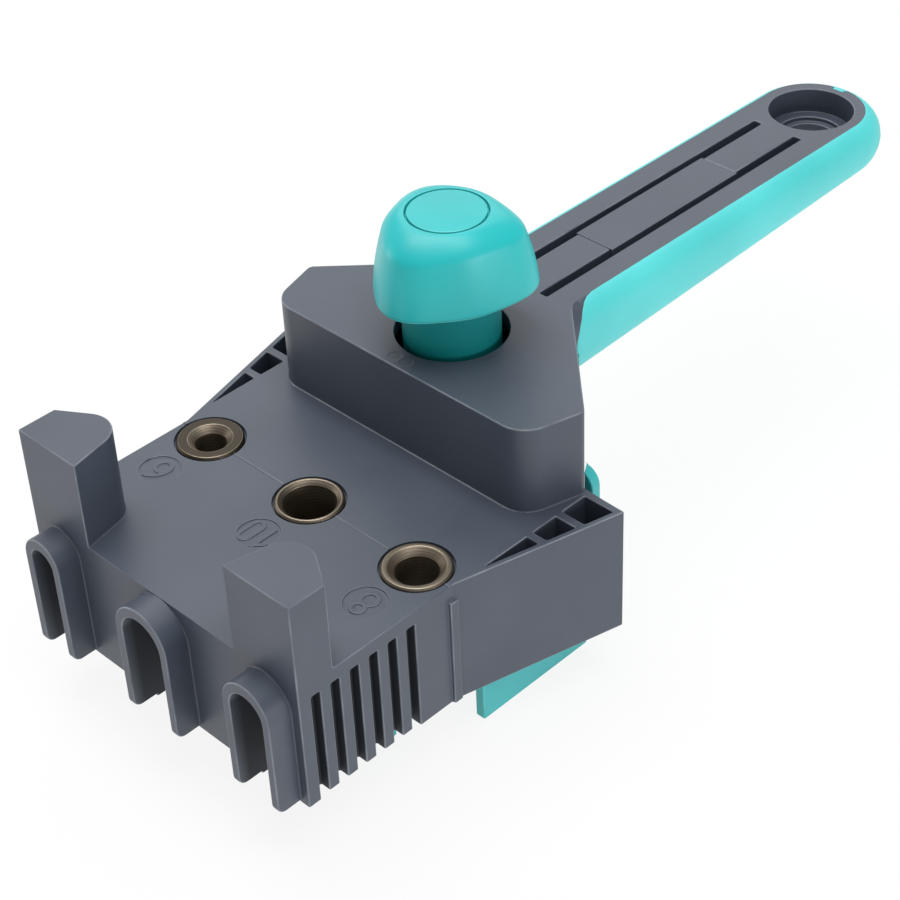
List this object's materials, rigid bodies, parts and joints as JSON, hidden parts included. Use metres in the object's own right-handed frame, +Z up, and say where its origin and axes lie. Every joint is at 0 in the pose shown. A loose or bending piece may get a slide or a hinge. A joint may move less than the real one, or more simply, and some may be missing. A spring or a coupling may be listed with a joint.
{
  "type": "self centering doweling jig",
  "caption": "Hand-held drill guide for dowel holes in a board's edge: steel bushes over a block whose jaws a knob closes evenly from both sides, with a long handle.",
  "frame": {"origin": "exit of the middle bush's bore, on the flat face that sits on the board's edge", "axes": "X along the line of bushes from the 6 mm to the 8 mm bush, Y from the bushes towards the handle's end, Z up along the bores, the way the drill leaves"},
  "size_m": [0.0888, 0.2025, 0.081],
  "materials": {
    "body_grey": "fine satin grain",
    "bush_steel": "turned, with a warm bronze tint",
    "grip_teal": "smooth satin soft plastic",
    "knob_teal": "smooth satin",
    "jaw_teal": "smooth satin",
    "carrier_grey": "fine satin",
    "cover_grey": "fine satin",
    "gear_white": "smooth natural acetal",
    "screw_steel": "zinc plated",
    "washer_rubber": "matt"
  },
  "bodies": {
    "frame": {"jig_body": "body_grey", "bush_6mm": "bush_steel", "bush_10mm": "bush_steel", "bush_8mm": "bush_steel", "grip_sleeve": "grip_teal", "handle_panel": "body_grey", "gear_carrier": "carrier_grey", "mechanism_cover": "cover_grey", "cover_screws": "screw_steel", "thrust_washer": "screw_steel", "friction_washer": "washer_rubber"},
    "knob": {"clamp_knob": "knob_teal", "knob_cap": "knob_teal", "knob_screw": "screw_steel", "drive_pinion": "gear_white"},
    "rear": {"rear_jaw": "jaw_teal", "rear_rack": "gear_white", "rear_rack_screws": "screw_steel"},
    "front": {"front_jaw": "jaw_teal", "front_rack": "gear_white", "front_rack_screws": "screw_steel"}
  },
  "joints": [
    {"name": "knob_turn", "type": "hinge", "parent": "frame", "child": "knob", "pos_m": [0, 0.0378, 0.03], "axis": [0, 0, 1], "range_deg": [0, 57.3]},
    {"name": "rear_jaw_slide", "type": "slide", "parent": "frame", "child": "rear", "axis": [0, 1, 0], "range_m": [0, 0.01]},
    {"name": "front_jaw_slide", "type": "slide", "parent": "frame", "child": "front", "axis": [0, -1, 0], "range_m": [0, 0.01]}
  ],
  "couplings": [
    {"joint": "knob_turn", "follows": "rear_jaw_slide", "rad_per_m": 100},
    {"joint": "front_jaw_slide", "follows": "rear_jaw_slide", "ratio": 1}
  ]
}
